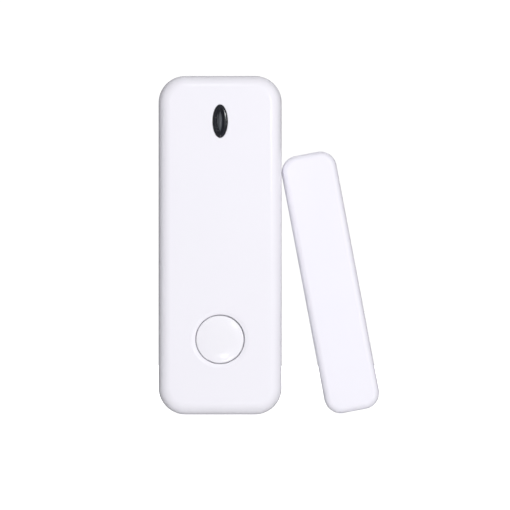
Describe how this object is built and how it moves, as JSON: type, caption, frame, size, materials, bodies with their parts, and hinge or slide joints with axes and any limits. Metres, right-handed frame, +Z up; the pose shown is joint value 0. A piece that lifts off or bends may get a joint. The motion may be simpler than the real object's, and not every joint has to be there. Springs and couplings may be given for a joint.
{
  "type": "door contact sensor",
  "caption": "Wireless door contact sensor: white snap case with a smoked oval LED lens and round push button over a reed switch board, and a slim separate magnet unit.",
  "frame": {"origin": "centre of the sensor's back mounting face, on the outer side of its foam tape pad", "axes": "+Z up along the sensor's length, +Y into the wall or door frame, so the front with the lens and the button faces -Y, and +X to the right, where the magnet unit stands"},
  "size_m": [0.0646, 0.0162, 0.099],
  "materials": {
    "gloss_white": "gloss moulded ABS",
    "satin_white": "satin moulded ABS",
    "button_white": "high gloss",
    "smoked_lens": "smoked polycarbonate",
    "grey_lens": "frosted light guide",
    "board_green": "solder mask on glass laminate",
    "black_plastic": "moulded epoxy",
    "led_clear": "clear epoxy",
    "clear_glass": "clear, faintly green",
    "tinned_steel": "tin plated",
    "gold_wire": "enamelled copper and plated spring wire",
    "can_sleeve": "shrink sleeve",
    "battery_sleeve": "printed metal sleeve",
    "ferrite": "sintered, dull",
    "foam": "double-sided foam tape"
  },
  "bodies": {
    "sensor_base": {"rear_housing": "satin_white", "sensor_tape_pad": "foam", "main_board": "board_green", "board_screw_upper": "tinned_steel", "board_screw_lower": "tinned_steel", "switch_base": "black_plastic", "switch_plate": "tinned_steel", "status_led": "led_clear", "reed_glass": "clear_glass", "reed_lead_upper": "tinned_steel", "reed_lead_lower": "tinned_steel", "encoder_chip": "black_plastic", "rf_transistor": "black_plastic", "saw_resonator": "tinned_steel", "storage_capacitor": "can_sleeve", "rf_coil": "gold_wire", "spring_aerial": "gold_wire", "battery": "battery_sleeve", "battery_positive_contact": "tinned_steel", "battery_negative_contact": "tinned_steel", "battery_spring": "tinned_steel"},
    "sensor_cover": {"front_cover": "gloss_white", "led_lens": "smoked_lens", "light_guide": "grey_lens"},
    "button": {"button_cap": "button_white"},
    "plunger": {"switch_plunger": "black_plastic"},
    "magnet_unit": {"magnet_base": "satin_white", "magnet_tape_pad": "foam", "magnet_bar": "ferrite"},
    "magnet_front": {"magnet_cover": "satin_white"}
  },
  "joints": [
    {"name": "cover_lift", "type": "slide", "parent": "sensor_base", "child": "sensor_cover", "axis": [0, -1, 0], "range_m": [0, 0.03]},
    {"name": "button_press", "type": "slide", "parent": "sensor_cover", "child": "button", "axis": [0, 1, 0], "range_m": [0, 0.0003], "stiffness_N_per_m": 3000},
    {"name": "plunger_press", "type": "slide", "parent": "sensor_base", "child": "plunger", "axis": [0, 1, 0], "range_m": [0, 0.0003]},
    {"name": "door_opening", "type": "slide", "parent": "sensor_base", "child": "magnet_unit", "axis": [1, 0, 0], "range_m": [0, 0.06]},
    {"name": "magnet_cover_lift", "type": "slide", "parent": "magnet_unit", "child": "magnet_front", "axis": [0, -1, 0], "range_m": [0, 0.02]}
  ],
  "couplings": [
    {"joint": "plunger_press", "follows": "button_press", "ratio": 1}
  ]
}
